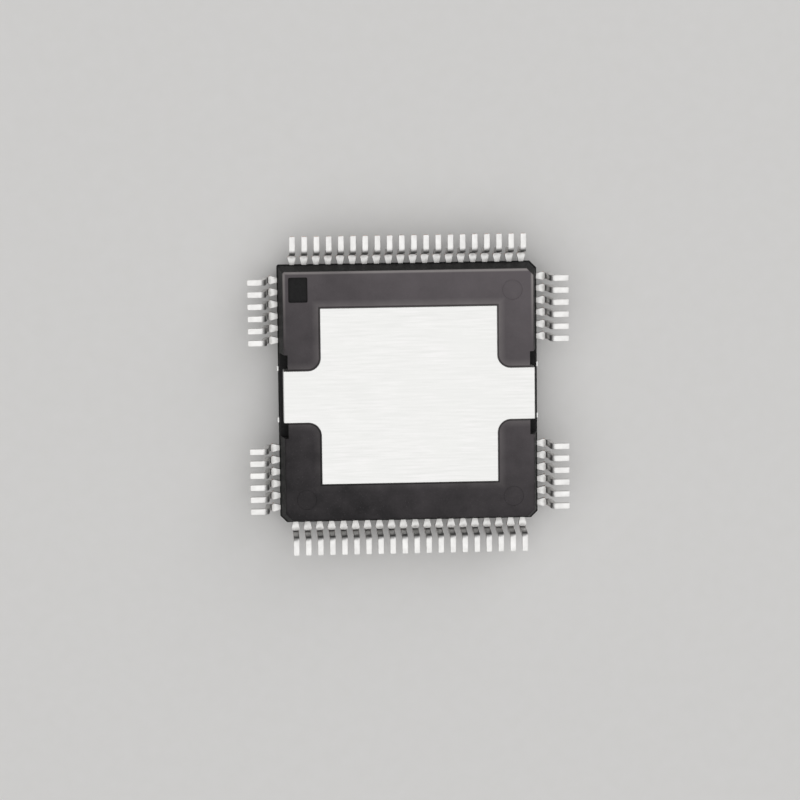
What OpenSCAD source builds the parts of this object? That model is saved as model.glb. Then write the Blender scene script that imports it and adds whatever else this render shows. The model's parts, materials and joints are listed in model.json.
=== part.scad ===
// Quad flat pack chip: 64 gull-wing leads round a moulded body with a large heat slug.
// It lies on its marking face, with the slug and the solder faces of the leads on top.
// X runs along the slug's two tabs, Z points away from the marking face.

/* [Body] */
// Width and length of the moulded body at its parting line
body_w = 14.0; // [13.8:0.05:14.2]
// Thickness of the moulded body, from the marking face to the slug side
body_t = 2.8; // [2.7:0.05:3.0]
// Draft of the moulded walls, in degrees
draft = 10; // [8:1:14]
// Leg of the chamfer on three corners
corner_cut = 0.36; // [0.2:0.02:0.5]
// Leg of the chamfer on the marked corner, which is almost sharp
marked_cut = 0.08; // [0.04:0.01:0.14]
// Width of the bevel round both faces
bevel_w = 0.15; // [0.08:0.01:0.2]
// Height of the bevel round both faces
bevel_h = 0.06; // [0.03:0.01:0.1]
// Width of the ledge that the two mould halves leave at the parting line
parting_ledge = 0.05; // [0.02:0.01:0.08]

/* [Side recesses] */
// Gap along the wall between the recess round a slug tab and the nearest lead
recess_gap = 0.445; // [0.4:0.005:0.6]
// Depth of the recess, in from the parting line
recess_in = 0.5; // [0.4:0.02:0.6]

/* [Marks] */
// Length of the pocket beside the marked corner, across the body
pocket_x = 1.02; // [0.8:0.02:1.2]
// Width of that pocket, along the body
pocket_y = 1.34; // [1.0:0.02:1.4]
// Depth of the pocket
pocket_depth = 0.15; // [0.1:0.01:0.25]
// Wall of compound between the pocket and the edge of the face
pocket_wall = 0.14; // [0.12:0.01:0.2]
// Diameter of the ejector pin marks
ejector_d = 1.06; // [0.8:0.02:1.2]
// Depth of the ejector pin marks
ejector_depth = 0.03; // [0.02:0.01:0.06]
// Distance of each ejector mark's centre from the parting line
ejector_in = 1.42; // [1.3:0.02:1.5]
// Diameter of the first-lead dimple in the marking face
dimple_d = 1.2; // [0.8:0.1:1.4]
// Depth of that dimple
dimple_depth = 0.1; // [0.05:0.01:0.2]
// Distance of the dimple's centre from the parting line
dimple_in = 1.6; // [1.4:0.05:2.0]

/* [Heat slug] */
// Width and length of the slug's square middle
slug_w = 9.5; // [9.3:0.05:9.7]
// Length of the slug over its two tabs
slug_len = 13.5; // [13.3:0.05:13.7]
// Width of the tabs
tab_w = 2.8; // [2.65:0.05:2.95]
// Fillet between a tab and the middle
tab_fillet = 0.7; // [0.4:0.05:0.9]
// Thickness of the slug
slug_t = 1.3; // [1.15:0.05:1.4]
// Height of the slug's solder face over the compound
slug_proud = 0.1; // [0.05:0.01:0.15]
// Width of the step that locks the slug into the compound
lock_w = 0.25; // [0.15:0.01:0.28]
// Height of the locking step
lock_t = 0.5; // [0.3:0.05:0.7]

/* [Rivets] */
// Diameter of the rivet that ties each slug tab to the leadframe
rivet_d = 0.5; // [0.4:0.02:0.6]
// Diameter of the spacer under the rivet
spacer_d = 0.95; // [0.8:0.05:1.1]
// Diameter of the upset rivet head
rivet_head_d = 0.8; // [0.7:0.02:0.9]
// Height of the upset rivet head
rivet_head_h = 0.12; // [0.08:0.01:0.16]

/* [Leadframe] */
// Thickness of the leadframe strip
lead_t = 0.27; // [0.23:0.01:0.32]
// Gap between the slug and the leadframe
frame_gap = 0.2; // [0.12:0.01:0.24]
// Distance between the centres of neighbouring leads
pitch = 0.65; // [0.63:0.005:0.66]
// Leads on each side without a tab
leads_long = 20; // [18:2:20]
// Leads in each of the two groups beside a tab
leads_corner = 6; // [5:1:6]
// Distance between the centres of neighbouring finger tips
finger_spacing = 0.465; // [0.44:0.005:0.48]
// Gap between the slug's edge and the finger tips, seen from above
tip_gap = 0.3; // [0.3:0.02:0.4]
// Width of a finger at its tip
tip_w = 0.24; // [0.2:0.01:0.28]
// Straight length of a finger behind the wall
root_len = 0.4; // [0.3:0.02:0.5]
// Width of the straps that hold the tie plates during moulding
strap_w = 0.3; // [0.24:0.02:0.36]
// Length of strap left outside the wall after trimming
strap_stub = 0.07; // [0.04:0.01:0.12]
// Length of each half of a tie plate, from the rivet out
tie_reach = 0.52; // [0.5:0.01:0.6]
// Distance of the wire's bond from the finger's tip
bond_in = 0.15; // [0.1:0.01:0.2]

/* [Lead wings] */
// Width of a lead's slope and foot
lead_w = 0.32; // [0.28:0.01:0.36]
// Width of a lead where it leaves the wall
neck_w = 0.29; // [0.24:0.01:0.32]
// Reach of a lead from the wall to its tip
reach = 1.6; // [1.5:0.05:1.7]
// Flat length of the shoulder
shoulder = 0.44; // [0.43:0.01:0.48]
// Width over the trimmed dam bar stubs
stub_w = 0.46; // [0.4:0.01:0.5]
// Distance from the wall to the start of the stubs
stub_start = 0.34; // [0.28:0.01:0.38]
// Distance from the wall to the end of the stubs
stub_end = 0.42; // [0.4:0.01:0.42]
// Inner radius of both bends
bend_r = 0.08; // [0.06:0.01:0.12]
// Slope between the bends, in degrees
slope = 86; // [80:1:88]
// Rounding of the foot's corners
foot_round = 0.06; // [0.03:0.01:0.1]
// Flat steps that make up each bend
bend_steps = 8; // [4:1:16]

/* [Die and wires] */
// Width and length of the silicon die
die_w = 5.4; // [4.8:0.1:6.0]
// Thickness of the die
die_t = 0.28; // [0.2:0.01:0.35]
// Thickness of the solder under the die
attach_t = 0.04; // [0.02:0.01:0.06]
// Width of the solder fillet showing round the die
attach_rim = 0.1; // [0.05:0.01:0.2]
// Distance of the bond pads from the die's edge
pad_in = 0.15; // [0.12:0.01:0.2]
// Distance of the last bond pad on a side from the die's corner
pad_margin = 0.3; // [0.25:0.01:0.4]
// Diameter of a bond wire
wire_d = 0.05; // [0.04:0.005:0.06]
// Diameter of a ball bond
ball_d = 0.11; // [0.09:0.01:0.13]
// Height of a ball bond
ball_h = 0.05; // [0.03:0.005:0.06]
// Height of a wire over the die's face
loop_h = 0.19; // [0.17:0.01:0.3]
// Bend radius at the top of a wire
knee_r = 0.08; // [0.06:0.01:0.1]
// Diameter of the bond on a finger
stitch_d = 0.12; // [0.1:0.01:0.14]

/* [Hidden] */
$fn = 48;

// Heights over the marking face
seat_z = body_t + slug_proud;
slug_in_z = seat_z - slug_t;
frame_top_z = slug_in_z - frame_gap;
frame_z = frame_top_z - lead_t;
attach_z = slug_in_z - attach_t;
die_z = attach_z - die_t;
span_z = min(die_z - loop_h, frame_z - wire_d);

// Half widths of the body, from the centre out
wall_x = body_w / 2;
face_x = wall_x - parting_ledge - (body_t - frame_top_z) * tan(draft);
mark_x = wall_x - frame_z * tan(draft);
cut_over = 1;

// A rivet stands halfway along the buried part of each tab, and a strap along each edge of the tab
rivet_x = (slug_w / 2 + lock_w + wall_x - recess_in) / 2;
strap_y = tab_w / 2;
tie_half_y = strap_y + strap_w / 2;

// Leads stand at these places along a side, the first one clockwise from above
first_y = (leads_long - 1) / 2 * pitch;
function place_y(k) = first_y - k * pitch;
function is_corner(k) = min(k, leads_long - 1 - k) < leads_corner;
side_names = ["rear", "right", "front", "left"];
side_turns = [90, 0, -90, 180];
function places(side) =
    [for (k = [0:leads_long - 1]) if (side % 2 == 0 || is_corner(k)) place_y(k)];
leads = [for (side = [0:3]) for (y = places(side)) [side_turns[side], y]];
recess_y = place_y(leads_corner - 1) - stub_w / 2 - recess_gap;

// Fingers fan in to the slug, and wires run on from there to the die's pads
tip_x = slug_w / 2 + tip_gap;
bond_x = tip_x + bond_in;
root_x = wall_x - root_len;
pad_x = die_w / 2 - pad_in;
pad_pitch = (die_w - 2 * pad_margin) / (leads_long - 1);
function tip_y(y) = y * finger_spacing / pitch;
function pad_y(y) = y * pad_pitch / pitch;
function finger_y(y, x) = tip_y(y) + (y - tip_y(y)) * (x - tip_x) / (root_x - tip_x);

// A wing rises from the shoulder to the foot: two bends, with a straight strip between them
outer_r = bend_r + lead_t;
foot_top = seat_z - frame_z;
rise = foot_top - 2 * outer_r;
strip_len = (rise + (bend_r + outer_r) * cos(slope)) / sin(slope);
foot_x = shoulder + (bend_r + outer_r) * sin(slope) + strip_len * cos(slope);
low_bend = [shoulder, outer_r];
high_bend = [foot_x, foot_top - outer_r];
foot_end = reach - foot_round;

function arc(centre, radius, start, sweep) =
    [for (k = [0:bend_steps]) let (a = start + sweep * k / bend_steps) centre + radius * [cos(a), sin(a)]];

// Section of the bent strip along the lead, outward and up
wing_section = concat(
    [[stub_end, 0], [stub_end, lead_t]],
    arc(low_bend, bend_r, -90, slope),
    arc(high_bend, outer_r, 90 + slope, -slope),
    [[foot_end, foot_top], [foot_end, foot_top - lead_t]],
    arc(high_bend, bend_r, 90, slope),
    arc(low_bend, outer_r, slope - 90, -slope)
);

function pair_name(k) = str("leads_", k < 9 ? "0" : "", k + 1, "_", k < 8 ? "0" : "", k + 2);
pair_starts = [0:2:len(leads) - 1];

// Half of the wall's section, from the marking face up, for a given half width at each height
wall_section = [
    [mark_x - bevel_w, 0],
    [mark_x + bevel_h * tan(draft), bevel_h],
    [wall_x, frame_z],
    [wall_x, frame_top_z],
    [wall_x - parting_ledge, frame_top_z],
    [face_x + bevel_h * tan(draft), body_t - bevel_h],
    [face_x - bevel_w, body_t]
];

// Distance from the centre to a corner chamfer of the given leg, measured along the diagonal
function corner_section(cut) = [for (p = wall_section) [(2 * p.x - cut) / sqrt(2), p.y]];

function mirrored(points) = [for (k = [len(points) - 1:-1:0]) [-points[k].x, points[k].y]];

// A bar along Y whose section has one half on each side of Z
module walled_bar(right, left) {
    rotate([90, 0, 0])
        linear_extrude(2 * body_w, center = true)
            polygon(concat(right, mirrored(left)));
}

module body_form() {
    intersection() {
        walled_bar(wall_section, wall_section);
        rotate([0, 0, 90])
            walled_bar(wall_section, wall_section);
        rotate([0, 0, 45])
            walled_bar(corner_section(corner_cut), corner_section(corner_cut));
        rotate([0, 0, -45])
            walled_bar(corner_section(corner_cut), corner_section(marked_cut));
    }
}

module side_recess() {
    translate([wall_x - recess_in, -recess_y, slug_in_z])
        cube([recess_in + cut_over, 2 * recess_y, body_t - slug_in_z + cut_over]);
}

module slug_side_marks() {
    pocket_at = face_x - bevel_w - pocket_wall;
    translate([-pocket_at, pocket_at - pocket_y, body_t - pocket_depth])
        cube([pocket_x, pocket_y, pocket_depth + cut_over]);
    for (turn = [0, -90, 180])
        rotate([0, 0, turn])
            translate([wall_x - ejector_in, wall_x - ejector_in, body_t - ejector_depth])
                cylinder(d = ejector_d, h = ejector_depth + cut_over);
}

module first_lead_dimple() {
    translate([dimple_in - wall_x, wall_x - dimple_in, -cut_over])
        cylinder(d = dimple_d, h = dimple_depth + cut_over);
}

// The compound fills everything round the pieces that it holds
module moulded_body() {
    color("#4c484a")
        difference() {
            body_form();
            side_recess();
            rotate([0, 0, 180])
                side_recess();
            slug_side_marks();
            first_lead_dimple();
            heat_slug();
            die_solder();
            silicon_die();
            tie_plate(0);
            tie_plate(180);
            for (lead = leads)
                at_lead(lead)
                    finger(lead[1]);
            for (side = [0:3])
                bond_wires(side);
        }
}

module slug_outline() {
    square(slug_w, center = true);
    square([slug_len, tab_w], center = true);
    for (turn = [0, 180], flip = [0, 1])
        rotate(turn)
            mirror([flip, 0])
                translate([slug_w / 2, tab_w / 2])
                    difference() {
                        square(tab_fillet);
                        translate([tab_fillet, tab_fillet])
                            circle(tab_fillet);
                    }
}

module heat_slug() {
    color("#e9e9e6") {
        translate([0, 0, slug_in_z])
            linear_extrude(slug_t)
                slug_outline();
        translate([0, 0, slug_in_z])
            linear_extrude(lock_t)
                square(slug_w + 2 * lock_w, center = true);
        for (sx = [-1, 1])
            translate([sx * rivet_x, 0, 0])
                rivet();
    }
}

// The spacer, shank and upset head are one piece with the slug
module rivet() {
    translate([0, 0, frame_top_z])
        cylinder(d = spacer_d, h = frame_gap);
    translate([0, 0, frame_z])
        cylinder(d = rivet_d, h = lead_t);
    translate([0, 0, frame_z - rivet_head_h])
        cylinder(d = rivet_head_d, h = rivet_head_h);
}

module tie_plate(turn) {
    color("#c9c3b8")
        rotate([0, 0, turn])
            translate([0, 0, frame_z])
                linear_extrude(lead_t)
                    difference() {
                        union() {
                            translate([rivet_x - tie_reach, -tie_half_y])
                                square([2 * tie_reach, 2 * tie_half_y]);
                            for (sy = [-1, 1])
                                translate([rivet_x, sy * strap_y - strap_w / 2])
                                    square([wall_x + strap_stub - rivet_x, strap_w]);
                        }
                        translate([rivet_x, 0])
                            circle(d = rivet_d);
                    }
}

module die_solder() {
    color("#8f9296")
        translate([0, 0, attach_z + attach_t / 2])
            cube([die_w + 2 * attach_rim, die_w + 2 * attach_rim, attach_t], center = true);
}

module silicon_die() {
    color("#5a6470")
        translate([0, 0, die_z + die_t / 2])
            cube([die_w, die_w, die_t], center = true);
}

// Puts a lead that is drawn outward along X, from the wall, in its place on its side
module at_lead(lead) {
    rotate([0, 0, lead[0]])
        translate([wall_x, lead[1], frame_z])
            children();
}

// The flat part of a lead inside the compound, which leans toward the die
module finger(y) {
    lean = tip_y(y) - y;
    linear_extrude(lead_t)
        polygon([
            [0, -neck_w / 2],
            [0, neck_w / 2],
            [-root_len, neck_w / 2],
            [tip_x - wall_x, lean + tip_w / 2],
            [tip_x - wall_x, lean - tip_w / 2],
            [-root_len, -neck_w / 2]
        ]);
}

// The flat shoulder, from the wall to the end of the trimmed dam bar
module shoulder_outline() {
    side = [[0, neck_w / 2], [stub_start, stub_w / 2], [stub_end, stub_w / 2]];
    polygon(concat(side, [for (k = [len(side) - 1:-1:0]) [side[k].x, -side[k].y]]));
}

module foot_tip_outline() {
    translate([0, foot_round - lead_w / 2])
        square([foot_round, lead_w - 2 * foot_round]);
    for (sy = [-1, 1])
        translate([0, sy * (lead_w / 2 - foot_round)])
            circle(foot_round);
}

// The gull wing outside the wall: shoulder, bend, slope, bend and foot
module wing() {
    linear_extrude(lead_t)
        shoulder_outline();
    rotate([90, 0, 0])
        linear_extrude(lead_w, center = true)
            polygon(wing_section);
    translate([foot_end, 0, foot_top - lead_t])
        linear_extrude(lead_t)
            foot_tip_outline();
}

// Two neighbouring leads, each whole from its finger tip to its foot
module lead_pair(first) {
    color("#d9d9d6")
        for (lead = [leads[first], leads[first + 1]])
            at_lead(lead) {
                finger(lead[1]);
                wing();
            }
}

// One wire from the die's pad to the finger, along X from the pad's own place
module bond_wire(run) {
    drop = die_z - span_z - knee_r;
    stitch_h = frame_z - span_z + wire_d;
    translate([0, 0, -ball_h])
        cylinder(d = ball_d, h = ball_h);
    translate([0, 0, -drop])
        cylinder(d = wire_d, h = drop);
    translate([knee_r, 0, -drop])
        rotate([90, 0, 0])
            rotate([0, 0, 180])
                rotate_extrude(angle = 90)
                    translate([knee_r, 0])
                        circle(d = wire_d);
    translate([knee_r, 0, -drop - knee_r])
        rotate([0, 90, 0])
            cylinder(d = wire_d, h = run - knee_r);
    translate([run, 0, frame_z - die_z - stitch_h])
        cylinder(d = stitch_d, h = stitch_h);
}

module bond_wires(side) {
    color("#c9a24a")
        rotate([0, 0, side_turns[side]])
            for (y = places(side)) {
                across = bond_x - pad_x;
                along = finger_y(y, bond_x) - pad_y(y);
                translate([pad_x, pad_y(y), die_z])
                    rotate([0, 0, atan2(along, across)])
                        bond_wire(norm([across, along]));
            }
}

moulded_body();
heat_slug();
die_solder();
silicon_die();
tie_plate(180);  // tie_plate_left
tie_plate(0);  // tie_plate_right
for (k = pair_starts) lead_pair(k);
for (side = [0:3]) bond_wires(side);
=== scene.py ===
# %% [markdown]
# # A quad flat pack chip, solder side up
#
# The chip is a square of black moulding compound with 64 bent leads round it. A big copper slug
# fills most of the face that is soldered to the board, and that face looks up here.
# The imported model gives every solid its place. This script gives the solids that show their real
# edges, and gives each one its finish.

import json

import bpy
import numpy as np
from mathutils import Matrix, Vector

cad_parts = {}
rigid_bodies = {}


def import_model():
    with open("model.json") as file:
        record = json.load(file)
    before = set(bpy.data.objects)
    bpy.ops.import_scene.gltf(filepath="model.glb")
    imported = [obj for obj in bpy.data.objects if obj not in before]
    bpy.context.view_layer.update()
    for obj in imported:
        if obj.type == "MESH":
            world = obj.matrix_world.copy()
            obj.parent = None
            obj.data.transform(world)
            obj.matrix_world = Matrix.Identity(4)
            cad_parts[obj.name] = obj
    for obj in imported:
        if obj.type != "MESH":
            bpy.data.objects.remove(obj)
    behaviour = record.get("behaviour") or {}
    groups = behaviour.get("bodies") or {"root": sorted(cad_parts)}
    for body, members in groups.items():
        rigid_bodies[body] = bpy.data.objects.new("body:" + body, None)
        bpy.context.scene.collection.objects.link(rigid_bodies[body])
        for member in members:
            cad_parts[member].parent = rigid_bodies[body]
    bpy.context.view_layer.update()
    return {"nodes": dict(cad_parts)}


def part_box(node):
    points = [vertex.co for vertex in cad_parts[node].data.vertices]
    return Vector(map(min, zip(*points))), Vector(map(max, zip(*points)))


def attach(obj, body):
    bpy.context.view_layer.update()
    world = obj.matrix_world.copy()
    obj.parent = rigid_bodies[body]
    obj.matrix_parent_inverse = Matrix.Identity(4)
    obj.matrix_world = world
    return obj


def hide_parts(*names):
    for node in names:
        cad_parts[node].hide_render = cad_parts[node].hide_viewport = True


MM = 0.001   # one millimetre in metres

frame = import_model()
print("packed nodes:", len(frame["nodes"]))

# %% [markdown]
# ## Sizes
#
# The scene is in metres, and this chip is 17 mm wide, so all its sizes below are written in
# millimetres and turned into metres once, when a mesh is made. They are the same sizes that the
# solids have, and two packed boxes are printed beside them to compare. The slug's box reaches 5 mm
# in y, past its square, because a hidden step locks it in the compound.

# %% Sizes in millimetres
BODY_HALF = 7.0           # half width at the parting line
BODY_TOP = 2.8            # height of the compound's slug side
FRAME_LOW = 1.13          # marking side of the leadframe strip
FRAME_HIGH = 1.40         # slug side of the leadframe strip
LEDGE = 0.05              # step between the two mould halves
DRAFT = np.radians(10.0)  # lean of the moulded walls
EDGE_IN = 0.15            # how far the rounded edge reaches into a face
EDGE_DOWN = 0.06          # and how far down the wall
SLUG_HALF = 4.75          # half side of the slug's square
TAB_END = 6.75            # where its two tabs end
TAB_HALF = 1.4            # half width of a tab
FACE_HALF = BODY_HALF - LEDGE - (BODY_TOP - FRAME_HIGH) * np.tan(DRAFT)

for node in ("moulded_body", "heat_slug"):
    low, high = (np.round(np.array(corner) / MM, 3).tolist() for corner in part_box(node))
    print(node, "from", low, "to", high)
print("half width of the slug side's flat face:", round(FACE_HALF - EDGE_IN, 3))

# %% [markdown]
# ## Camera
#
# The photograph was taken with a long lens from almost straight above, leaning a little over the
# rear row of leads and the left one. Its place was worked out from the rows of feet, the corners of
# the slug and the stubs 1.5 mm lower, which lie on a known grid: a camera that sees all of them at
# the same spots stands where the real one did.

# %% Camera
EYE = Vector((-9.933, 21.360, 173.292)) * MM
AIM = Vector((0.05473, -0.12560, -0.99057))
UPWARD = Vector((0.01835, 0.99202, -0.12477))
LENS = 144.4   # focal length in mm

camera = bpy.data.objects.new("camera", bpy.data.cameras.new("camera"))
bpy.context.scene.collection.objects.link(camera)
bpy.context.scene.camera = camera
camera.data.lens = LENS
camera.data.clip_start = 0.01
camera.data.clip_end = 20.0
across = AIM.cross(UPWARD).normalized()
upright = across.cross(AIM).normalized()
facing = Matrix((across, upright, -AIM.normalized())).transposed().to_4x4()
camera.matrix_world = Matrix.Translation(EYE) @ facing
print("camera distance in mm:", round(EYE.length / MM, 1))


# %% [markdown]
# ## Colours and nodes
#
# A colour is picked on screen as sRGB, but light adds up in linear values, so one function turns
# the first into the second. A material is a tree of nodes, and one function adds a node, sets it
# and links it. Pattern sizes are given as the real size of one grain or stripe.

# %% Colour and node helpers
A, B, MIXED = 6, 7, 2   # a Mix node's two colour inputs, and its colour output


def linear(colour):
    """sRGB hex to linear: c / 12.92 up to 0.04045, above it ((c + 0.055) / 1.055) to the power 2.4."""
    c = np.array([int(colour[k:k + 2], 16) for k in (1, 3, 5)]) / 255
    return (*np.where(c <= 0.04045, c / 12.92, ((c + 0.055) / 1.055) ** 2.4).tolist(), 1.0)


def add(tree, kind, inputs=None, **settings):
    """Adds a node of that kind; inputs maps a socket to its value or to the output that feeds it."""
    node = tree.nodes.new("ShaderNode" + kind)
    for name, value in settings.items():
        setattr(node, name, value)
    for name, value in (inputs or {}).items():
        if isinstance(value, bpy.types.NodeSocket):
            tree.links.new(value, node.inputs[name])
        else:
            node.inputs[name].default_value = value
    return node


def per(size):
    """Texture scale at which one grain of the pattern is that many millimetres wide."""
    return 1 / (size * MM)


def new_material(name, inputs):
    """A material whose shader has these values on its own sockets, with its tree and the shader."""
    made = bpy.data.materials.new(name)
    made.use_nodes = True
    shader = made.node_tree.nodes["Principled BSDF"]
    for socket, value in inputs.items():
        shader.inputs[socket].default_value = value
    return made, made.node_tree, shader


print("mid grey #808080 is", round(linear("#808080")[0], 3), "in linear light")

# %% [markdown]
# ## Moulding compound
#
# The body is epoxy packed with silica powder and carbon black, pressed into a steel mould. The
# mould is spark-eroded, so the compound comes out with a fine matt grain. Afterwards blasting
# clears thin flash off the copper on the slug's side and bares grains of powder on that face. The
# face is drawn paler toward the rear right corner, with soft noise clouds in it: that is painted
# light, standing for the lamp beyond that corner. The walls and the floors of the recesses stay
# nearly black, as painted shade. The eye sees a dull charcoal that never shines.
# One dark grey all over would look painted. So the height of a point says whether it lies on the
# face, which gets the painted light and the bared grains, and soft noise makes the painted light
# uneven.
# The grain is really about 0.03 mm and is drawn three times as coarse here, so that it shows.

# %% Material: moulding compound, its face and walls
PAINTED_LIGHT_TOWARD = (0.45, 0.9, 0.0)        # the painted light grows this way, toward the rear right corner, where the lamp stands
PAINTED_LIGHT_NONE, PAINTED_LIGHT_FULL = -3, 13   # mm along that way, where the painted light starts and where it is full
CLOUD_SWING = 10                # mm along that way by which a noise cloud moves the painted light
UNLIT_UNBLASTED_BELOW = BODY_TOP - 0.085    # below this height the painted light and the bared grains are gone: walls and recess floors stay dark as painted shade
LIT_BLASTED_ABOVE = BODY_TOP - 0.035      # above this height the face gets all of the painted light and the bared grains

compound, tree, shader = new_material("moulding_compound", {"IOR": 1.55, "Specular IOR Level": 0.23})
where = add(tree, "TexCoord").outputs["Object"]
cloud = add(tree, "TexNoise", {"Vector": where, "Scale": per(1.8), "Detail": 5.0, "Roughness": 0.65})
along_painted_light = add(tree, "VectorMath", {0: where, 1: PAINTED_LIGHT_TOWARD}, operation="DOT_PRODUCT")
painted_light_reach = add(tree, "Math", {0: cloud.outputs[0], 1: CLOUD_SWING * MM, 2: along_painted_light.outputs["Value"]},
             operation="MULTIPLY_ADD")
painted_light_amount = add(tree, "MapRange", {"Value": painted_light_reach.outputs[0],
                              "From Min": PAINTED_LIGHT_NONE * MM, "From Max": PAINTED_LIGHT_FULL * MM})
# Painted light: the face runs from near-black at the front left to pale grey at the rear right, where the
# lamp is.
face = add(tree, "Mix", {0: painted_light_amount.outputs[0], A: linear("#1b181a"), B: linear("#615b5e")},
           data_type="RGBA")
height = add(tree, "SeparateXYZ", {0: where})
lit_and_blasted = add(tree, "MapRange", {"Value": height.outputs["Z"],
                                 "From Min": UNLIT_UNBLASTED_BELOW * MM, "From Max": LIT_BLASTED_ABOVE * MM})
# Painted shade: below the face, the walls and the recess floors keep the near-black colour.
base = add(tree, "Mix", {0: lit_and_blasted.outputs[0], A: linear("#0d0c0d"), B: face.outputs[MIXED]},
           data_type="RGBA")
filler = add(tree, "TexVoronoi", {"Vector": where, "Scale": per(0.16)})
fleck = add(tree, "MapRange", {"Value": filler.outputs["Distance"],
                               "From Min": 0.16, "From Max": 0.06, "To Max": 0.4})
bared = add(tree, "Math", {0: fleck.outputs[0], 1: lit_and_blasted.outputs[0]}, operation="MULTIPLY")
powdered = add(tree, "Mix", {0: bared.outputs[0], A: base.outputs[MIXED], B: linear("#5c585a")},
               data_type="RGBA")
print("face and walls:", len(tree.nodes), "nodes")

# %% [markdown]
# A painted highlight lies on the rim of the face toward the rear, where the lamp beyond the rear
# would catch the rounded edge, and a painted glow of light lies along the bright slug. Both grow
# with the face's painted light. A rim is found by how far out a point lies, and the slug's cross as
# the space between its square and its tabs, with a soft corner between the two distances.

# %% Material: moulding compound, painted highlight on the rims and painted glow by the slug
REAR_START, REAR_FULL = 2.5, 6.2        # mm behind the middle, where the painted highlight on the rim begins and is full
MARGIN_EDGE, MARGIN_FULL = 0.45, 0.05   # mm from the slug, where its painted glow ends and is full
SOFT_CORNER = 0.5                       # mm over which the two distances blend

unsigned = add(tree, "VectorMath", {0: where}, operation="ABSOLUTE")
sides = add(tree, "SeparateXYZ", {0: unsigned.outputs[0]})
out_by = add(tree, "Math", {0: sides.outputs["X"], 1: sides.outputs["Y"]}, operation="MAXIMUM")
rim = add(tree, "MapRange", {"Value": out_by.outputs[0], "From Min": (FACE_HALF - EDGE_IN) * MM,
                             "From Max": (FACE_HALF - EDGE_IN / 2) * MM})
rearward = add(tree, "MapRange", {"Value": height.outputs["Y"],
                                  "From Min": REAR_START * MM, "From Max": REAR_FULL * MM})
rim_highlight = add(tree, "Math", {0: rim.outputs[0], 1: rearward.outputs[0]}, operation="MULTIPLY")
beyond_tab = add(tree, "Math", {0: sides.outputs["Y"], 1: TAB_HALF * MM}, operation="SUBTRACT")
beyond_square = add(tree, "Math", {0: out_by.outputs[0], 1: SLUG_HALF * MM}, operation="SUBTRACT")
beyond = add(tree, "Math", {0: beyond_tab.outputs[0], 1: beyond_square.outputs[0],
                            2: SOFT_CORNER * MM}, operation="SMOOTH_MIN")
slug_glow = add(tree, "MapRange", {"Value": beyond.outputs[0], "From Min": MARGIN_EDGE * MM,
                                "From Max": MARGIN_FULL * MM, "To Max": 0.45})
highlight_and_glow = add(tree, "Math", {0: rim_highlight.outputs[0], 1: slug_glow.outputs[0]}, operation="MAXIMUM")
on_face = add(tree, "Math", {0: highlight_and_glow.outputs[0], 1: lit_and_blasted.outputs[0]}, operation="MULTIPLY")
rim_light_amount = add(tree, "Math", {0: on_face.outputs[0], 1: painted_light_amount.outputs[0]}, operation="MULTIPLY")
# Painted highlight on the rear rim and painted glow along the slug, mixed toward a pale grey.
with_painted_rim_light = add(tree, "Mix", {0: rim_light_amount.outputs[0], A: powdered.outputs[MIXED], B: linear("#918c8b")},
           data_type="RGBA")
tree.links.new(with_painted_rim_light.outputs[MIXED], shader.inputs["Base Color"])
print("with the rims:", len(tree.nodes), "nodes")

# %% Material: moulding compound, grain
grain = add(tree, "TexNoise", {"Vector": where, "Scale": per(0.09), "Detail": 2.0, "Roughness": 0.6})
matt = add(tree, "MapRange", {"Value": grain.outputs[0], "From Min": 0.3, "From Max": 0.7,
                              "To Min": 0.5, "To Max": 0.66})
tree.links.new(matt.outputs[0], shader.inputs["Roughness"])
eroded = add(tree, "Bump", {"Height": grain.outputs[0], "Distance": 0.006 * MM, "Strength": 1.0})
tree.links.new(eroded.outputs[0], shader.inputs["Normal"])
print("moulding compound:", len(tree.nodes), "nodes")

# %% [markdown]
# ## Tin on the slug
#
# The slug is copper with a thin coat of matt tin, a pale grey-white metal with no mirror in it:
# the eye sees an even soft white. The strip was rolled before it was plated, so faint straight
# lines run along it, and handling has left a few hairline marks.
# Noise that is drawn out in one direction gives such lines at their real width.

# %% Material: matt tin on the slug, colour and gloss
slug_tin, tree, shader = new_material("matt_tin_on_slug", {"Metallic": 1.0})
where = add(tree, "TexCoord").outputs["Object"]
along = add(tree, "Mapping", {"Vector": where, "Scale": (0.06, 1.0, 1.0)})
rolled = add(tree, "TexNoise", {"Vector": along.outputs[0], "Scale": per(0.12),
                                "Detail": 3.0, "Roughness": 0.6})
patch = add(tree, "TexNoise", {"Vector": where, "Scale": per(1.8), "Detail": 3.0, "Roughness": 0.6})
tone = add(tree, "MapRange", {"Value": patch.outputs[0], "From Min": 0.3, "From Max": 0.7})
tin = add(tree, "Mix", {0: tone.outputs[0], A: linear("#ebebe9"), B: linear("#f4f3f2")},
          data_type="RGBA")
lined = add(tree, "MapRange", {"Value": rolled.outputs[0], "From Min": 0.35, "From Max": 0.65})
plated = add(tree, "Mix", {0: lined.outputs[0], A: tin.outputs[MIXED], B: linear("#e9e9e7")},
             data_type="RGBA")
tree.links.new(plated.outputs[MIXED], shader.inputs["Base Color"])
satin = add(tree, "MapRange", {"Value": patch.outputs[0], "From Min": 0.3, "From Max": 0.7,
                               "To Min": 0.41, "To Max": 0.46})
tree.links.new(satin.outputs[0], shader.inputs["Roughness"])
print("slug tin, colour and gloss:", len(tree.nodes), "nodes")

# %% Material: matt tin on the slug, lines and hairline marks
MARKS = ((0.6, 0.02), (-0.9, 0.035))   # each direction in radians, and its squeeze along the mark

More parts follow.
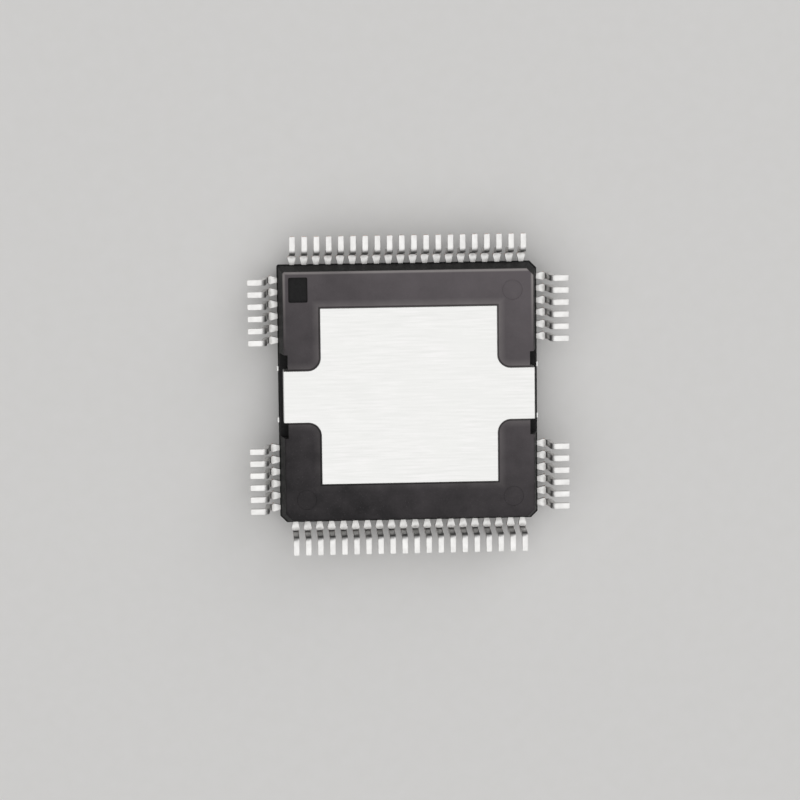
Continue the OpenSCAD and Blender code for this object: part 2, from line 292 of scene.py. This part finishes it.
crystal = add(tree, "TexNoise", {"Vector": where, "Scale": per(0.07), "Detail": 2.0})
relief = add(tree, "Math", {0: rolled.outputs[0], 1: crystal.outputs[0]}, operation="ADD")
for direction, squeeze in MARKS:
    slid = add(tree, "Mapping", {"Vector": where, "Rotation": (0, 0, direction)})
    drawn = add(tree, "Mapping", {"Vector": slid.outputs[0], "Scale": (squeeze, 1.0, 1.0)})
    streak = add(tree, "TexNoise", {"Vector": drawn.outputs[0], "Scale": per(0.16), "Detail": 1.0})
    hairline = add(tree, "MapRange", {"Value": streak.outputs[0],
                                      "From Min": 0.70, "From Max": 0.74, "To Max": -1.0})
    relief = add(tree, "Math", {0: relief.outputs[0], 1: hairline.outputs[0]}, operation="ADD")
bumped = add(tree, "Bump", {"Height": relief.outputs[0], "Distance": 0.0015 * MM, "Strength": 1.0})
tree.links.new(bumped.outputs[0], shader.inputs["Normal"])
print("slug tin:", len(tree.nodes), "nodes")

# %% [markdown]
# ## Tin on the leads
#
# The leads are stamped from copper alloy strip, plated and then bent. The bending tool drags over
# the tin and polishes it along the lead. Where the lead and the dam bar are cut after plating, the
# copper shows. Beside the body the tin is greyed as painted shade, where the body's wall shades the
# lead, and the lower bend is greyed as painted shade in its crease. The eye sees bright satin
# strips with a dull band, and small warm faces where they were cut. Each lead has a UV map in
# millimetres, so the drag marks and the painted shade follow its bends.

# %% Material: tin on the leads, painted shade beside the wall and in the lower bend
WALL_SHADE_EDGE, WALL_SHADE_FULL = 0.34, 0.14          # mm from the wall, where the painted shade beside the wall ends and is full
BEND_SHADE_START, BEND_SHADE_FULL = 0.44, 0.60       # where the painted shade in the lower bend begins and is full
BEND_SHADE_GONE, BEND_SHADE_FADING = 0.95, 0.75    # where it has gone, and where it begins to go
RAGGED = 0.3                               # mm by which patches in the tin move these edges

lead_tin, tree, shader = new_material("tin_on_leads", {"Metallic": 1.0})
where = add(tree, "TexCoord").outputs["Object"]
length_wise = add(tree, "UVMap", uv_map="along_the_lead").outputs[0]
patch = add(tree, "TexNoise", {"Vector": where, "Scale": per(0.45), "Detail": 2.0})
tone = add(tree, "MapRange", {"Value": patch.outputs[0], "From Min": 0.3, "From Max": 0.7})
tin = add(tree, "Mix", {0: tone.outputs[0], A: linear("#e2e1df"), B: linear("#f0efed")},
          data_type="RGBA")
distance = add(tree, "SeparateXYZ", {0: length_wise})
ragged = add(tree, "Math", {0: patch.outputs[0], 1: RAGGED, 2: distance.outputs["X"]},
             operation="MULTIPLY_ADD")
wall_shade = add(tree, "MapRange", {"Value": ragged.outputs[0],
                              "From Min": WALL_SHADE_EDGE, "From Max": WALL_SHADE_FULL, "To Max": 0.4})
bend_shade_rising = add(tree, "MapRange", {"Value": ragged.outputs[0],
                                 "From Min": BEND_SHADE_START, "From Max": BEND_SHADE_FULL, "To Max": 0.6})
bend_shade_falling = add(tree, "MapRange", {"Value": ragged.outputs[0],
                                  "From Min": BEND_SHADE_GONE, "From Max": BEND_SHADE_FADING, "To Max": 0.6})
bend_shade = add(tree, "Math", {0: bend_shade_rising.outputs[0], 1: bend_shade_falling.outputs[0]}, operation="MINIMUM")
painted_lead_shade = add(tree, "Math", {0: wall_shade.outputs[0], 1: bend_shade.outputs[0]}, operation="MAXIMUM")
# Painted shade: the tin is greyed beside the body's wall and in the lower bend.
shaded_tin = add(tree, "Mix", {0: painted_lead_shade.outputs[0], A: tin.outputs[MIXED], B: linear("#7d7a77")},
             data_type="RGBA")
print("lead tin, film and pressed band:", len(tree.nodes), "nodes")

# %% Material: tin on the leads, cut copper and drag marks
DRAG_MARKS = 28.0   # marks to a millimetre, so each is about 0.04 mm wide

torn = add(tree, "TexNoise", {"Vector": where, "Scale": per(0.08), "Detail": 3.0, "Roughness": 0.7})
shear = add(tree, "MapRange", {"Value": torn.outputs[0], "From Min": 0.35, "From Max": 0.65})
copper = add(tree, "Mix", {0: shear.outputs[0], A: linear("#a9714f"), B: linear("#d39d7b")},
             data_type="RGBA")
cut = add(tree, "Attribute", attribute_name="bare_copper")
metal = add(tree, "Mix", {0: cut.outputs["Fac"], A: shaded_tin.outputs[MIXED], B: copper.outputs[MIXED]},
            data_type="RGBA")
tree.links.new(metal.outputs[MIXED], shader.inputs["Base Color"])
stretch = add(tree, "Mapping", {"Vector": length_wise, "Scale": (0.12, 1.0, 1.0)})
drag = add(tree, "TexNoise", {"Vector": stretch.outputs[0], "Scale": DRAG_MARKS,
                              "Detail": 2.0, "Roughness": 0.6})
satin = add(tree, "MapRange", {"Value": drag.outputs[0], "From Min": 0.3, "From Max": 0.7,
                               "To Min": 0.34, "To Max": 0.46})
tree.links.new(satin.outputs[0], shader.inputs["Roughness"])
bumped = add(tree, "Bump", {"Height": drag.outputs[0], "Distance": 0.002 * MM, "Strength": 1.0})
tree.links.new(bumped.outputs[0], shader.inputs["Normal"])
print("lead tin:", len(tree.nodes), "nodes")

# %% [markdown]
# ## Metals and silicon inside the compound
#
# Nobody sees these without cutting the chip open, but each is finished as what it is: soft solder
# that froze in dull patches under the die, a polished blue-grey die, and bright drawn gold wire.
# They differ only in a few values, so one loop makes all three.

# %% Materials: solder, silicon and gold
inside = {}
for name, low, high, metallic, rough, size in (
    ("soft_solder", "#7f8286", "#9da0a3", 1.0, 0.45, 0.6),
    ("polished_silicon", "#3d4650", "#56616c", 0.6, 0.15, 1.5),
    ("drawn_gold", "#c39a3c", "#dcb760", 1.0, 0.25, 0.1),
):
    made, tree, shader = new_material(name, {"Metallic": metallic})
    where = add(tree, "TexCoord").outputs["Object"]
    patch = add(tree, "TexNoise", {"Vector": where, "Scale": per(size), "Detail": 3.0})
    tone = add(tree, "MapRange", {"Value": patch.outputs[0], "From Min": 0.3, "From Max": 0.7})
    shade = add(tree, "Mix", {0: tone.outputs[0], A: linear(low), B: linear(high)}, data_type="RGBA")
    tree.links.new(shade.outputs[MIXED], shader.inputs["Base Color"])
    dull = add(tree, "MapRange", {"Value": patch.outputs[0],
                                  "To Min": rough * 0.8, "To Max": rough * 1.2})
    tree.links.new(dull.outputs[0], shader.inputs["Roughness"])
    wavy = add(tree, "Bump", {"Height": patch.outputs[0], "Distance": 0.002 * MM, "Strength": 0.6})
    tree.links.new(wavy.outputs[0], shader.inputs["Normal"])
    inside[name] = made
print("inside materials:", sorted(inside))


# %% [markdown]
# ## Meshes from grids
#
# Every new piece is a grid of points: rows along a path and columns round a section. One function
# joins neighbours with four-sided faces and closes the two ends. It works in millimetres, because
# mesh tools round off steps of a thousandth of a millimetre when they meet them in metres.

# %% Grid helpers
def grid_faces(rows, columns, first=0):
    """Quads of a grid that closes on itself: (r, c), (r, c + 1), (r + 1, c + 1), (r + 1, c)."""
    r, c = np.meshgrid(np.arange(rows - 1), np.arange(columns), indexing="ij")
    here = r * columns
    after = (r + 1) * columns
    following = (c + 1) % columns
    quads = np.stack([here + c, here + following, after + following, after + c], -1)
    return quads.reshape(-1, 4) + first


def tube_mesh(name, grids):
    """One mesh from several closed tubes, each an array of rows x columns x 3, with both ends capped."""
    points, faces, first = [], [], 0
    for grid in grids:
        rows, columns = grid.shape[:2]
        points.append(grid.reshape(-1, 3))
        faces.extend(grid_faces(rows, columns, first).tolist())
        faces.append((first + np.arange(columns)[::-1]).tolist())
        faces.append((first + (rows - 1) * columns + np.arange(columns)).tolist())
        first += rows * columns
    mesh = bpy.data.meshes.new(name)
    mesh.from_pydata(np.concatenate(points).tolist(), [], faces)
    return mesh


print("a tube of 3 rings of 4 points has", len(grid_faces(3, 4)), "side faces")


# %% [markdown]
# A finished piece is a mesh in metres that rides on the chip and stands for its imported node.
# Faces that meet at a small angle are shaded as one smooth surface. Weighted normals keep the big
# flats flat, so that only the rounded edges catch the light.

# %% Placing a piece
SMOOTH_BELOW = np.radians(40.0)   # edges that turn more than this stay sharp


def place(mesh, material, slot, *replaced):
    """Makes a finished piece of a mesh in millimetres, and gives back how many faces it has."""
    mesh.transform(Matrix.Scale(MM, 4))
    mesh.shade_smooth()
    mesh.set_sharp_from_angle(angle=SMOOTH_BELOW)
    mesh.materials.clear()
    mesh.materials.append(material)
    piece = bpy.data.objects.new(mesh.name, mesh)
    bpy.context.scene.collection.objects.link(piece)
    even = piece.modifiers.new("flat faces stay flat", "WEIGHTED_NORMAL")
    even.keep_sharp = True
    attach(piece, "root")
    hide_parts(*replaced)
    return len(mesh.polygons)


print("edges stay sharp above", round(float(np.degrees(SMOOTH_BELOW))), "degrees")

# %% [markdown]
# ## Leads
#
# A lead is a strip 0.27 mm thick that leaves the compound flat, bends up by 86 degrees, climbs and
# bends flat again into the foot that is soldered. Its edges are rounded by stamping. A modifier
# could bend a straight strip, but its sizes would drift. So the lead is one rounded rectangle
# carried along one bent line, and its width changes on the way: it widens to the stub where the
# dam bar was cut off, and steps back to the width of the foot.

# %% Lead sizes
LEAD_T = 0.27                       # thickness of the strip
NECK_W, STUB_W = 0.29, 0.46         # widths at the wall and at the stub
LEAD_W, TIP_W = 0.32, 0.24          # widths of the foot and of the finger's tip
STUB_START, STUB_END = 0.34, 0.42   # distances from the wall
STEP = 0.001                        # length of the step at the stub's end
SHOULDER, REACH = 0.44, 1.6         # where the lower bend starts, and how far out the toe is
BEND_INNER, SLOPE = 0.08, np.radians(86)
BEND_R = BEND_INNER + LEAD_T / 2    # bend radius of the middle line
LEAD_EDGE = 0.02                    # rounding of the long edges
TOE_ROUND, TOE_SHARE = 0.06, 0.999  # length of the toe's rounding, and how much of it each side loses
ROOT, FINGER_TIP = 0.4, 1.95        # inside the wall: end of the straight part, and the tip
FINGER_SPACING, PITCH = 0.465, 0.65
SEAT = 2.9                          # height of the soldered faces

rise = SEAT - FRAME_LOW - 2 * (BEND_INNER + LEAD_T)
slope_length = (rise + 2 * BEND_R * np.cos(SLOPE)) / np.sin(SLOPE)
bend_length = BEND_R * SLOPE
turns = np.cumsum([SHOULDER, bend_length, slope_length, bend_length])
foot_start = SHOULDER + 2 * BEND_R * np.sin(SLOPE) + slope_length * np.cos(SLOPE)
path_end = turns[-1] + REACH - foot_start
print("slope", round(slope_length, 3), "mm, foot", round(REACH - foot_start, 3), "mm")


# %% [markdown]
# The line of a lead is found from its angle: the angle is 0 on the flats and grows evenly through
# a bend, and adding up small steps in that direction gives the place of every point.

# %% Line of a lead
FLAT_STEPS, BEND_STEPS, FINE_POINTS = 5, 10, 4001


def lead_stations():
    """Distances s from the wall where the section is drawn, close together in bends and at the toe."""
    inner = np.linspace(-FINGER_TIP, -ROOT, FLAT_STEPS + 1)
    neck = np.array([-ROOT / 2, 0.0, STUB_START / 2])
    stub = np.array([STUB_START, STUB_END - STEP, STUB_END, SHOULDER])
    lower = np.linspace(turns[0], turns[1], BEND_STEPS + 1)[1:]
    climb = np.linspace(turns[1], turns[2], FLAT_STEPS + 1)[1:]
    upper = np.linspace(turns[2], turns[3], BEND_STEPS + 1)[1:]
    foot = np.linspace(turns[3], path_end - TOE_ROUND, FLAT_STEPS + 1)[1:]
    quarter = np.linspace(0, np.pi / 2, FLAT_STEPS + 1)[1:]
    toe = path_end - TOE_ROUND * (1 - np.sin(quarter))
    return np.concatenate([inner, neck, stub, lower, climb, upper, foot, toe])


def middle_line(s):
    """x, z and angle of the middle line at each s: x adds up cos(angle) ds, z adds up sin(angle) ds."""
    fine = np.linspace(0, path_end, FINE_POINTS)
    angle = np.interp(fine, turns, [0, SLOPE, SLOPE, 0])
    middle = (angle[1:] + angle[:-1]) / 2
    step = np.diff(fine)
    x = np.concatenate([[0], np.cumsum(np.cos(middle) * step)])
    z = np.concatenate([[0], np.cumsum(np.sin(middle) * step)])
    outside = np.maximum(s, 0)
    x_there = np.interp(outside, fine, x) + np.minimum(s, 0)
    return x_there, np.interp(outside, fine, z), np.interp(outside, fine, angle)


stations = lead_stations()
print("stations:", len(stations), "from", stations[0], "to", round(float(stations[-1]), 3), "mm")


# %% Section of a lead
def lead_width(s):
    """Width at each s: lines between the named widths, less a quarter circle on each side of the toe."""
    named_at = [-FINGER_TIP, -ROOT, 0, STUB_START, STUB_END - STEP, STUB_END]
    width = np.interp(s, named_at, [TIP_W, NECK_W, NECK_W, STUB_W, STUB_W, LEAD_W])
    into_toe = np.clip((s - path_end + TOE_ROUND) / TOE_ROUND, 0, 1)
    return width - 2 * TOE_ROUND * (1 - np.sqrt(1 - into_toe ** 2)) * TOE_SHARE


def corner_angles(steps):
    """Angles round four corners, 90 degrees each, with steps + 1 points on each corner."""
    return (np.arange(4)[:, None] * 90 + np.linspace(0, 90, steps + 1)[None, :]).ravel() * np.pi / 180


def rounded_section(width, thickness, radius, steps=3):
    """Rounded rectangles: each corner's centre plus radius times (cos a, sin a), one for each width."""
    a = corner_angles(steps)
    right = np.repeat([1, -1, -1, 1], steps + 1)
    upper = np.repeat([1, 1, -1, -1], steps + 1)
    wide = right * (width[:, None] / 2 - radius) + radius * np.cos(a)
    thick = upper * (thickness / 2 - radius) + radius * np.sin(a)
    return wide, np.broadcast_to(thick, wide.shape)


print("widest section:", round(float(lead_width(stations).max()), 3), "mm")


# %% [markdown]
# The fingers inside the compound stand closer than the leads outside, so each one leans toward the
# middle of its side. The lead is made for the side at +X and then turned to its own side.

# %% One lead
def lead_grid(turn, y):
    """Points of the lead at y: the section set upright on the middle line, then turned by that angle."""
    x, z, angle = middle_line(stations)
    wide, thick = rounded_section(lead_width(stations), LEAD_T, LEAD_EDGE)
    into_finger = np.clip((-stations - ROOT) / (FINGER_TIP - ROOT), 0, 1)
    lean = y * (FINGER_SPACING / PITCH - 1) * into_finger
    px = x[:, None] - thick * np.sin(angle)[:, None] + BODY_HALF
    pz = z[:, None] + thick * np.cos(angle)[:, None] + FRAME_LOW + LEAD_T / 2
    py = y + lean[:, None] + wide
    c, t = np.round(np.cos(turn)), np.round(np.sin(turn))
    return np.stack([c * px - t * py, t * px + c * py, pz], -1)


grid = lead_grid(0.0, 0.0)
print("one lead:", grid.shape[0], "rings of", grid.shape[1], "points")
print("from", np.round(grid.min((0, 1)), 3), "to", np.round(grid.max((0, 1)), 3))


# %% [markdown]
# Two neighbours share one piece, as they share one node. Each face gets its distance along the
# lead and round the section as a UV map in millimetres, and a mark that says whether it was cut
# after plating.

# %% UV map and cut faces
def dress_lead_mesh(mesh, s, columns, girth):
    """UV: u is s, v the way round, in mm. bare_copper is 1 on the toe's end and on the stub's sides."""
    r, c = (g.ravel() for g in np.meshgrid(np.arange(len(s) - 1), np.arange(columns), indexing="ij"))
    u = np.stack([s[r], s[r], s[r + 1], s[r + 1]], 1)
    v = np.stack([c, c + 1, c + 1, c], 1) * girth / columns
    uv_quads = np.stack([u, v], -1).reshape(-1, 2)
    uv_caps = np.zeros((2 * columns, 2))
    layer = mesh.uv_layers.new(name="along_the_lead")
    layer.data.foreach_set("uv", np.concatenate([uv_quads, uv_caps] * 2).ravel())
    side = np.isin(c, [columns // 2 - 1, columns - 1])
    in_stub = (s[r] >= STUB_START - STEP / 2) & (s[r + 1] <= STUB_END)
    bare = np.concatenate([(side & in_stub).astype(float), [0.0, 1.0]])
    mark = mesh.attributes.new("bare_copper", "FLOAT", "FACE")
    mark.data.foreach_set("value", np.concatenate([bare, bare]))


GIRTH = 2 * (LEAD_W + LEAD_T)
print("way round a foot:", round(GIRTH, 2), "mm")

# %% [markdown]
# The leads are numbered clockwise from the marked corner: 20 at the rear, two groups of 6 on the
# right, 20 at the front and two groups of 6 on the left.

# %% Leads
SIDE_LEADS, GROUP_LEADS = 20, 6
FIRST = (SIDE_LEADS - 1) / 2 * PITCH   # how far the first lead of a side is from its middle

all_places = range(SIDE_LEADS)
group_places = [k for k in all_places if min(k, SIDE_LEADS - 1 - k) < GROUP_LEADS]
lead_list = [(turn, FIRST - k * PITCH)
             for turn, places in ((np.pi / 2, all_places), (0.0, group_places),
                                  (-np.pi / 2, all_places), (np.pi, group_places))
             for k in places]

for k in range(0, len(lead_list), 2):
    numbers = "leads_%02d_%02d" % (k + 1, k + 2)
    grids = [lead_grid(*lead) for lead in lead_list[k:k + 2]]
    mesh = tube_mesh("tinned_" + numbers, grids)
    dress_lead_mesh(mesh, stations, grids[0].shape[1], GIRTH)
    faces = place(mesh, lead_tin, "plated_leadframe", numbers)
print("lead pieces:", len(lead_list) // 2, "with", faces, "faces each")


# %% [markdown]
# ## Moulded body
#
# The body is two mould halves that meet at the leadframe. Each wall leans in by the draft that
# lets it leave the mould, and every edge is slightly rounded, because the mould's corners are.
# A box with bevelled edges would give every edge the same rounding, and these differ. So the body
# is a stack of outlines: the same chamfered square, pushed out to the half width that the wall
# has at each height. Only three corners have a real chamfer. The fourth is almost sharp and marks
# where lead 1 is.

# %% Line of the wall
PARTING = [(0.02, 0.02), (0.015, 0.015), (0.01, 0.02)]   # mm of softening at the parting line


def softened(points, reaches, steps=5):
    """Rounds each corner p: (1-t)^2 a + 2t(1-t) p + t^2 b, with a and b that far before and after it."""
    t = np.linspace(0, 1, steps + 1)[:, None]
    points = np.array(points, float)
    out = [points[:1]]
    for before, p, after, reach in zip(points[:-2], points[1:-1], points[2:], reaches):
        a = p + reach[0] * (before - p) / np.linalg.norm(before - p)
        b = p + reach[1] * (after - p) / np.linalg.norm(after - p)
        out.append((1 - t) ** 2 * a + 2 * t * (1 - t) * p + t ** 2 * b)
    out.append(points[-1:])
    return np.concatenate(out)


mark_half = BODY_HALF - FRAME_LOW * np.tan(DRAFT)
line = softened(
    [(mark_half - 1, 0), (mark_half, 0), (BODY_HALF, FRAME_LOW), (BODY_HALF, FRAME_HIGH),
     (BODY_HALF - LEDGE, FRAME_HIGH), (FACE_HALF, BODY_TOP), (FACE_HALF - 1, BODY_TOP)],
    [(EDGE_IN, EDGE_DOWN)] + PARTING + [(EDGE_DOWN, EDGE_IN)])
wall = line[1:-1]   # without its first and last point, which only gave the faces their direction
print("wall:", len(wall), "points")
print("half width", round(mark_half, 3), "below and", round(FACE_HALF, 3), "above")

# %% Stack of outlines
CUT, MARKED_CUT, CORNER_ROUND = 0.36, 0.08, 0.06


def corner_shape(leg, steps=3):
    """Chamfer of that leg with rounded ends, from the corner of the square: 2 x (steps + 1) points."""
    shift = leg + (np.sqrt(2) - 1) * CORNER_ROUND
    a = np.linspace(0, np.pi / 4, steps + 1)
    first = np.stack([np.cos(a) * CORNER_ROUND - CORNER_ROUND, np.sin(a) * CORNER_ROUND - shift], 1)
    return np.concatenate([first, first[::-1, ::-1]])


def square_rings(half_widths, heights, legs):
    """Ring at each height: for each quarter turn, the half width plus the shape of that corner."""
    rings = []
    for quarter, leg in enumerate(legs):
        shape = corner_shape(leg)
        x = half_widths[:, None] + shape[None, :, 0]
        y = half_widths[:, None] + shape[None, :, 1]
        for _ in range(quarter):
            x, y = -y, x
        rings.append(np.stack([x, y, np.broadcast_to(heights[:, None], x.shape)], -1))
    return np.concatenate(rings, 1)


body_grid = square_rings(wall[:, 0], wall[:, 1], [CUT, MARKED_CUT, CUT, CUT])
print("body rings:", body_grid.shape[:2], "widest", round(float(body_grid[..., 0].max()), 3))


# %% [markdown]
# The slug's bed, the recesses round its tabs, the pocket beside the marked corner and the round
# marks of the ejector pins are cut out of that block, as the mould's own steel leaves them. Each
# is cut with an upright shape of its own.

# %% Cutting shapes
def prism(outline, low, high):
    """Upright prism: the outline (counter-clockwise) at two heights."""
    outline = np.asarray(outline, float)
    return np.stack([np.column_stack([outline, np.full(len(outline), z)]) for z in (low, high)])


def block(x0, x1, y0, y1, low, high):
    """Upright box between those sides."""
    return prism([(x0, y0), (x1, y0), (x1, y1), (x0, y1)], low, high)


def rounded_block(x0, x1, y0, y1, radius, low, high, steps=5):
    """Upright box with rounded corners: each corner's centre plus radius times (cos a, sin a)."""
    a = corner_angles(steps)
    x = np.repeat([x1 - radius, x0 + radius, x0 + radius, x1 - radius], steps + 1) + radius * np.cos(a)
    y = np.repeat([y1 - radius, y1 - radius, y0 + radius, y0 + radius], steps + 1) + radius * np.sin(a)
    return prism(np.column_stack([x, y]), low, high)


def disc(x, y, diameter, low, high, sides=48):
    """Upright round pin: centre plus radius times (cos a, sin a)."""
    a = np.linspace(0, 2 * np.pi, sides, endpoint=False)
    return prism(np.column_stack([x + diameter / 2 * np.cos(a), y + diameter / 2 * np.sin(a)]), low, high)


print("a pin has", disc(0, 0, 1, 0, 1).shape[1], "sides")


# %% [markdown]
# Modifiers cut and round the meshes. They are applied at once, so a finished mesh carries no
# cutting tools with it.

# %% Mesh changes
def changed(mesh, *steps):
    """The mesh after those modifiers, each (kind, settings), under its name; the old mesh is dropped."""
    name = mesh.name
    worked = bpy.data.objects.new("worked", mesh)
    bpy.context.scene.collection.objects.link(worked)
    for kind, settings in steps:
        modifier = worked.modifiers.new(kind, kind)
        for setting, value in settings.items():
            setattr(modifier, setting, value)
    view = bpy.context.evaluated_depsgraph_get()
    result = bpy.data.meshes.new_from_object(worked.evaluated_get(view))
    bpy.data.objects.remove(worked)
    bpy.data.meshes.remove(mesh)
    result.name = name
    return result


def cut_away(mesh, grids):
    """Takes those closed shapes out of the mesh."""
    tools = bpy.data.objects.new("tools", tube_mesh("tools", grids))
    bpy.context.scene.collection.objects.link(tools)
    result = changed(mesh, ("BOOLEAN", {"object": tools, "operation": "DIFFERENCE", "solver": "EXACT"}))
    bpy.data.meshes.remove(tools.data)
    return result


def rounding(width, segments, sharper_than):
    """A Bevel of that width in mm on each edge that turns more than that angle in degrees."""
    return ("BEVEL", {"width": width, "segments": segments, "limit_method": "ANGLE",
                      "angle_limit": np.radians(sharper_than), "use_clamp_overlap": False})


MOULDED_EDGE = rounding(0.02, 2, 50)
STAMPED_EDGE = rounding(0.04, 3, 40)
TRIMMED_EDGE = rounding(0.03, 2, 40)
for edge in (MOULDED_EDGE, STAMPED_EDGE, TRIMMED_EDGE):
    print("edges rounded by", edge[1]["width"], "mm in", edge[1]["segments"], "segments")

# %% Sizes of the cuts
FILLET, SLUG_LOW = 0.7, 1.6                    # where a tab meets the square; the bed's floor
RECESS_HALF, RECESS_IN = 2.25, 0.5             # half width of a side recess, and how deep it goes in
POCKET = (-6.413, -5.393, 5.073, 6.413)        # its sides in x, then in y
POCKET_CORNER, POCKET_DEPTH = 0.08, 0.15
EJECTOR_D, EJECTOR_AT, EJECTOR_DEPTH = 1.06, 5.58, 0.03
DIMPLE_D, DIMPLE_AT, DIMPLE_DEPTH = 1.2, 5.4, 0.1
GAP_W, GAP_DEPTH = 0.08, 0.06                  # where the compound shrank away from the slug
CLEAR = 1                                      # how far a cutting shape reaches past the body
OVER = BODY_TOP + CLEAR


def slug_outline(grow=0.0, steps=10):
    """The cross pushed out by grow; a fillet is its centre plus (FILLET - grow) times (cos a, sin a)."""
    a = np.linspace(np.pi, 1.5 * np.pi, steps + 1)[::-1]
    centre = np.array([SLUG_HALF + FILLET, TAB_HALF + FILLET])
    arc = centre + (FILLET - grow) * np.column_stack([np.cos(a), np.sin(a)])
    tab_corner = (TAB_END + grow, TAB_HALF + grow)
    square_corner = (SLUG_HALF + grow, SLUG_HALF + grow)
    quarter = np.concatenate([[tab_corner], arc, [square_corner]])
    flipped = quarter[::-1] * (-1, 1)
    return np.concatenate([quarter, flipped, -quarter, -flipped])


print("outline of the slug:", len(slug_outline()), "points")

# %% Cutting the body
bed = prism(slug_outline(), SLUG_LOW, OVER)
gap = prism(slug_outline(GAP_W), BODY_TOP - GAP_DEPTH, OVER)
recess_inner, recess_outer = BODY_HALF - RECESS_IN, BODY_HALF + CLEAR
recesses = [block(recess_inner, recess_outer, -RECESS_HALF, RECESS_HALF, SLUG_LOW, OVER),
            block(-recess_outer, -recess_inner, -RECESS_HALF, RECESS_HALF, SLUG_LOW, OVER)]
pocket = rounded_block(*POCKET, POCKET_CORNER, BODY_TOP - POCKET_DEPTH, OVER)
ejectors = [disc(x, y, EJECTOR_D, BODY_TOP - EJECTOR_DEPTH, OVER)
            for x, y in ((EJECTOR_AT, EJECTOR_AT), (EJECTOR_AT, -EJECTOR_AT), (-EJECTOR_AT, -EJECTOR_AT))]
dimple = disc(-DIMPLE_AT, DIMPLE_AT, DIMPLE_D, -CLEAR, DIMPLE_DEPTH)

body_mesh = tube_mesh("moulded_compound", [body_grid])
for tools in ([bed], [gap], recesses, [pocket] + ejectors + [dimple]):
    body_mesh = cut_away(body_mesh, tools)
faces = place(changed(body_mesh, MOULDED_EDGE), compound, "moulded_epoxy", "moulded_body")
print("body:", faces, "faces")


# %% [markdown]
# ## Heat slug and tie plates
#
# The slug is stamped from thick copper, so its top edge is rolled over by about 0.04 mm. The tie
# plates are pieces of the leadframe that held it in the mould, and only their cut straps show in
# the walls. Their solids have the right shape already: a copy of each is joined up, its flat faces
# are made whole again, and every edge is rounded.

# %% Heat slug and tie plates
def joined_copy(node, name):
    """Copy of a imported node's mesh in millimetres, its triangles joined and its flats made whole."""
    mesh = frame["nodes"][node].data.copy()
    mesh.transform(Matrix.Scale(1 / MM, 4))
    mesh.name = name
    return changed(mesh, ("WELD", {"merge_threshold": 0.001}),
                   ("DECIMATE", {"decimate_type": "DISSOLVE", "angle_limit": np.radians(1)}))


slug_mesh = changed(joined_copy("heat_slug", "tinned_slug"), STAMPED_EDGE)
faces = place(slug_mesh, slug_tin, "plated_slug", "heat_slug")
print("slug:", faces, "faces")
for side in ("left", "right"):
    strap_mesh = changed(joined_copy("tie_plate_" + side, "tie_strap_" + side), TRIMMED_EDGE)
    faces = place(strap_mesh, slug_tin, "plated_leadframe", "tie_plate_" + side)
    print("tie plate", side + ":", faces, "faces")

# %% [markdown]
# ## Die, solder and wires
#
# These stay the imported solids, because their shapes are right and the compound hides them. They
# only get their own finish.

# %% Die, solder and wires
finishes = {"die_solder": "soft_solder", "silicon_die": "polished_silicon"}
for side in ("rear", "right", "front", "left"):
    finishes["bond_wires_" + side] = "drawn_gold"
for node, finish in finishes.items():
    mesh = frame["nodes"][node].data
    mesh.materials.clear()
    mesh.materials.append(inside[finish])
print("finished inside:", sorted(finishes))

# %% [markdown]
# ## Floor and light
#
# The chip lies on a plain pale floor, matt card that never shines. One wide soft panel overhead
# fills the tin with an even white, and a smaller one beyond the rear right corner makes that side
# a little brighter, as in the photograph. Both are wide and weak, so the tin mirrors them from any
# side without burning out. A pale world fills the rest.

# %% Floor
FLOOR_HALF = 4.0   # metres

floor_mesh = bpy.data.meshes.new("floor")
floor_corners = [(x * FLOOR_HALF, y * FLOOR_HALF, 0) for x, y in ((-1, -1), (1, -1), (1, 1), (-1, 1))]
floor_mesh.from_pydata(floor_corners, [], [(0, 1, 2, 3)])
floor = bpy.data.objects.new("floor", floor_mesh)
bpy.context.scene.collection.objects.link(floor)

card, tree, shader = new_material("pale_card", {"Roughness": 0.9, "Specular IOR Level": 0.2})
where = add(tree, "TexCoord").outputs["Object"]
fibre = add(tree, "TexNoise", {"Vector": where, "Scale": per(0.8), "Detail": 3.0})
pale = add(tree, "Mix", {0: fibre.outputs[0], A: linear("#e1e0de"), B: linear("#e5e4e3")},
           data_type="RGBA")
tree.links.new(pale.outputs[MIXED], shader.inputs["Base Color"])
floor_mesh.materials.append(card)
print("floor:", 2 * FLOOR_HALF, "m wide")


# %% Lights
CHIP_MIDDLE = Vector((0, 0, 0.0014))   # metres


def panel(name, at, size, watts):
    """A square area lamp of that size in metres, turned from its place to face the chip's middle."""
    lamp = bpy.data.lights.new(name, "AREA")
    lamp.size = size
    lamp.energy = watts
    lit = bpy.data.objects.new(name, lamp)
    bpy.context.scene.collection.objects.link(lit)
    lit.location = at
    toward = CHIP_MIDDLE - Vector(at)
    lit.rotation_euler = toward.to_track_quat("-Z", "Y").to_euler()
    print(name, "is", size, "m wide and", round(toward.length, 2), "m away")


panel("overhead_panel", at=(-0.05, -0.05, 0.42), size=0.80, watts=1.88)
panel("key_panel", at=(0.26, 0.32, 0.26), size=0.36, watts=0.48)

# %% World
world = bpy.data.worlds.new("pale_studio")
bpy.context.scene.world = world
world.use_nodes = True
sky = world.node_tree.nodes["Background"]
sky.inputs["Color"].default_value = linear("#ffffff")
sky.inputs["Strength"].default_value = 0.22
bpy.context.scene.view_settings.view_transform = "Standard"
print("world strength:", round(sky.inputs["Strength"].default_value, 2))
